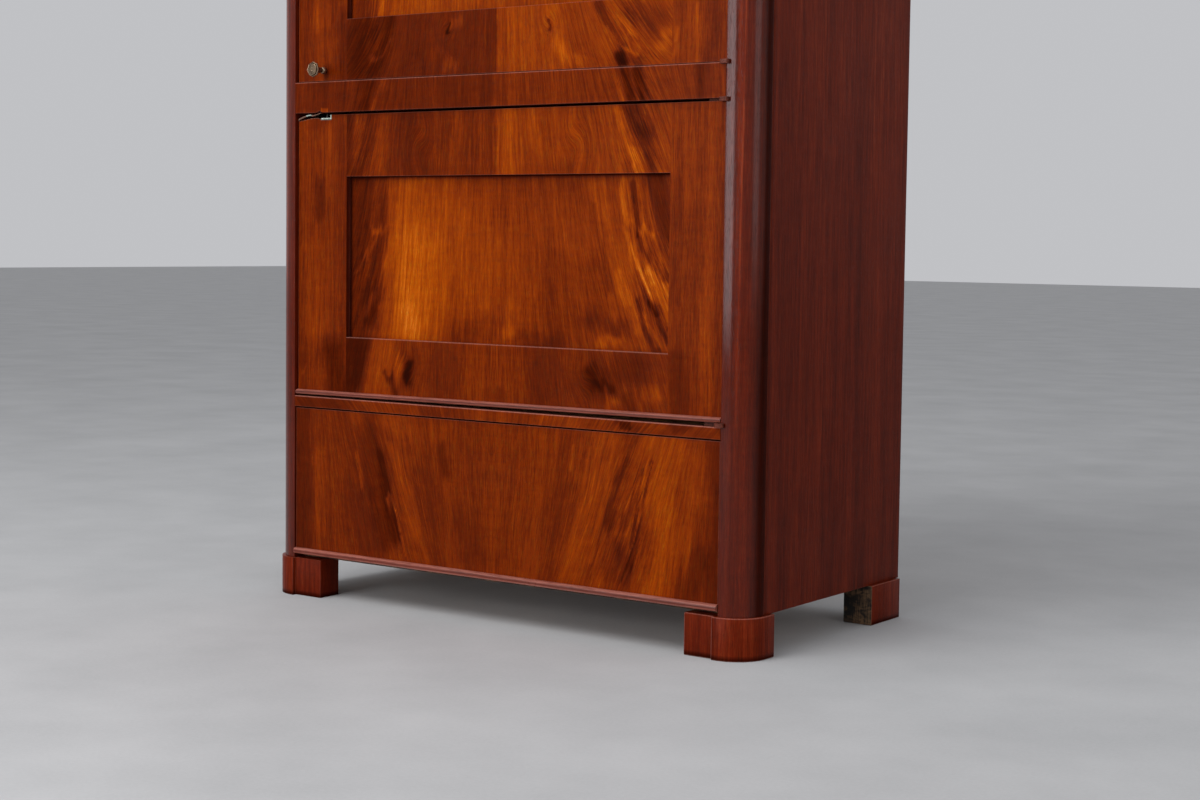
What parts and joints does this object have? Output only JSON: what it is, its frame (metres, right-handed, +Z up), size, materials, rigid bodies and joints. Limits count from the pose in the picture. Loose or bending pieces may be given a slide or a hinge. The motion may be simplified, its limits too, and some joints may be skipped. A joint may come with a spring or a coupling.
{
  "type": "wardrobe",
  "caption": "Tall wardrobe with rounded corner posts, an upper and a lower door with recessed panels, a base drawer, a cornice and blocky feet.",
  "frame": {"origin": "on the floor, below the middle of the overall box", "axes": "+Z up, -Y out of the front, +X to the right when seen from the front"},
  "size_m": [1.13, 0.568, 1.95],
  "materials": {
    "front_mahogany": "french-polished flame mahogany veneer",
    "case_mahogany": "french-polished plain mahogany",
    "plain_pine": "bare softwood",
    "aged_brass": "aged, unpolished",
    "worn_iron": "dark, rubbed"
  },
  "bodies": {
    "case": {"corner_post_left": "case_mahogany", "corner_post_right": "case_mahogany", "side_panel_left": "case_mahogany", "side_panel_right": "case_mahogany", "cornice": "case_mahogany", "front_foot_left": "case_mahogany", "front_foot_right": "case_mahogany", "rear_foot_left": "case_mahogany", "rear_foot_right": "case_mahogany", "thin_rail": "front_mahogany", "middle_band": "front_mahogany", "frieze_rail": "front_mahogany", "back_board_left": "plain_pine", "back_board_right": "plain_pine", "bottom_board": "plain_pine", "dust_board": "plain_pine", "middle_floor": "plain_pine", "top_board": "plain_pine", "shelf": "plain_pine", "shelf_cleat_left": "plain_pine", "shelf_cleat_right": "plain_pine", "clothes_rail": "plain_pine", "rail_socket_left": "plain_pine", "rail_socket_right": "plain_pine", "drawer_runner_left": "plain_pine", "drawer_runner_right": "plain_pine", "door_stop_lower": "plain_pine", "door_stop_upper": "plain_pine", "lower_foot_case_plate": "worn_iron", "lower_head_case_plate": "worn_iron", "upper_foot_case_plate": "worn_iron", "upper_head_case_plate": "worn_iron", "bolt_guide": "worn_iron"},
    "upper_door": {"upper_door_stile_left": "front_mahogany", "upper_door_stile_right": "front_mahogany", "upper_door_rail_head": "front_mahogany", "upper_door_rail_foot": "front_mahogany", "upper_door_panel": "front_mahogany", "upper_foot_door_plate": "worn_iron", "upper_head_door_plate": "worn_iron", "knob_collar": "aged_brass"},
    "lower_door": {"lower_door_stile_left": "front_mahogany", "lower_door_stile_right": "front_mahogany", "lower_door_rail_head": "front_mahogany", "lower_door_rail_foot": "front_mahogany", "lower_door_panel": "front_mahogany", "lower_door_bead": "front_mahogany", "lower_foot_door_plate": "worn_iron", "lower_head_door_plate": "worn_iron", "bolt_keeper": "worn_iron", "catch_lining": "aged_brass"},
    "drawer": {"drawer_front": "front_mahogany", "drawer_bead": "front_mahogany", "drawer_side_left": "plain_pine", "drawer_side_right": "plain_pine", "drawer_back": "plain_pine", "drawer_bottom": "plain_pine"},
    "knob": {"door_knob": "aged_brass", "latch_tongue": "worn_iron"},
    "bolt": {"slide_bolt": "worn_iron"}
  },
  "joints": [
    {"name": "upper_door_hinge", "type": "hinge", "parent": "case", "child": "upper_door", "pos_m": [0.484, -0.2585, 0.979], "axis": [0, 0, 1], "range_deg": [0, 170]},
    {"name": "lower_door_hinge", "type": "hinge", "parent": "case", "child": "lower_door", "pos_m": [0.484, -0.2585, 0.388], "axis": [0, 0, 1], "range_deg": [0, 170]},
    {"name": "drawer_slide", "type": "slide", "parent": "case", "child": "drawer", "axis": [0, -1, 0], "range_m": [0, 0.38]},
    {"name": "knob_turn", "type": "hinge", "parent": "upper_door", "child": "knob", "pos_m": [-0.4092, -0.246, 0.9984], "axis": [0, 1, 0], "range_deg": [0, 90]},
    {"name": "bolt_slide", "type": "slide", "parent": "case", "child": "bolt", "axis": [0, 0, -1], "range_m": [0, 0.022]}
  ]
}
